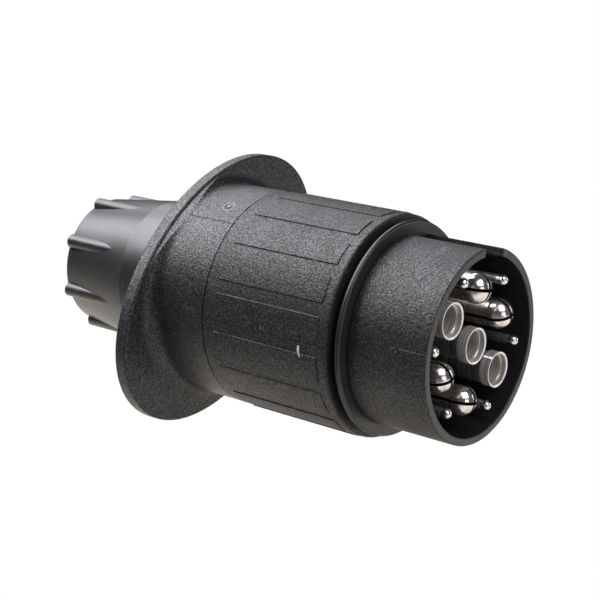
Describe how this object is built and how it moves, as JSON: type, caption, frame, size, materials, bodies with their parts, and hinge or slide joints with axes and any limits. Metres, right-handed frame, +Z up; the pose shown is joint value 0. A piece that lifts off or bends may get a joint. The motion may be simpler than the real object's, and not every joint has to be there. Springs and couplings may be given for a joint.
{
  "type": "trailer wiring plug",
  "caption": "Round trailer wiring plug: slotted barrel with split pins, sleeves and thin pins, padded union grip, elliptical hand flange and ribbed cable gland nut.",
  "frame": {"origin": "centre of the barrel's rim, on the plug's axis", "axes": "+X along the plug's axis in the mating direction, +Z up through the key slot, +Y completing a right-handed frame"},
  "size_m": [0.0981, 0.0562, 0.0562],
  "materials": {
    "shell_plastic": "fine spark-eroded grain",
    "cap_plastic": "satin",
    "carrier_plastic": "smooth",
    "washer_plastic": "smooth",
    "contact_metal": "nickel plated",
    "screw_metal": "plain turned",
    "seal_rubber": "smooth",
    "grommet_rubber": "matt"
  },
  "bodies": {
    "front": {"contact_barrel": "shell_plastic", "contact_carrier": "carrier_plastic", "carrier_retainer": "carrier_plastic", "split_pin_1": "contact_metal", "split_pin_2": "contact_metal", "split_pin_3": "contact_metal", "split_pin_4": "contact_metal", "sleeve_contact_1": "contact_metal", "sleeve_contact_2": "contact_metal", "sleeve_contact_3": "contact_metal", "signal_pin_1": "contact_metal", "signal_pin_2": "contact_metal", "signal_pin_3": "contact_metal", "signal_pin_4": "contact_metal", "signal_pin_5": "contact_metal", "signal_pin_6": "contact_metal", "terminal_screws": "screw_metal", "carrier_screws": "screw_metal", "face_seal": "seal_rubber"},
    "union": {"grip_sleeve": "shell_plastic"},
    "rear": {"rear_shell": "shell_plastic", "shell_gasket": "seal_rubber", "cable_grommet": "grommet_rubber"},
    "gland": {"gland_washer": "washer_plastic"},
    "cap": {"cap_nut": "cap_plastic"}
  },
  "joints": [
    {"name": "grip_sleeve_turn", "type": "hinge", "parent": "front", "child": "union", "pos_m": [-0.035, 0, 0], "axis": [1, 0, 0], "range_deg": [0, 1080]},
    {"name": "rear_shell_slide", "type": "slide", "parent": "front", "child": "rear", "axis": [-1, 0, 0], "range_m": [0, 0.009]},
    {"name": "gland_slide", "type": "slide", "parent": "rear", "child": "gland", "axis": [-1, 0, 0], "range_m": [0, 0.009]},
    {"name": "cap_turn", "type": "hinge", "parent": "gland", "child": "cap", "pos_m": [-0.085, 0, 0], "axis": [-1, 0, 0], "range_deg": [0, 1080]}
  ],
  "couplings": [
    {"joint": "rear_shell_slide", "follows": "grip_sleeve_turn", "m_per_rad": 0.00047746},
    {"joint": "gland_slide", "follows": "cap_turn", "m_per_rad": 0.00047746}
  ]
}
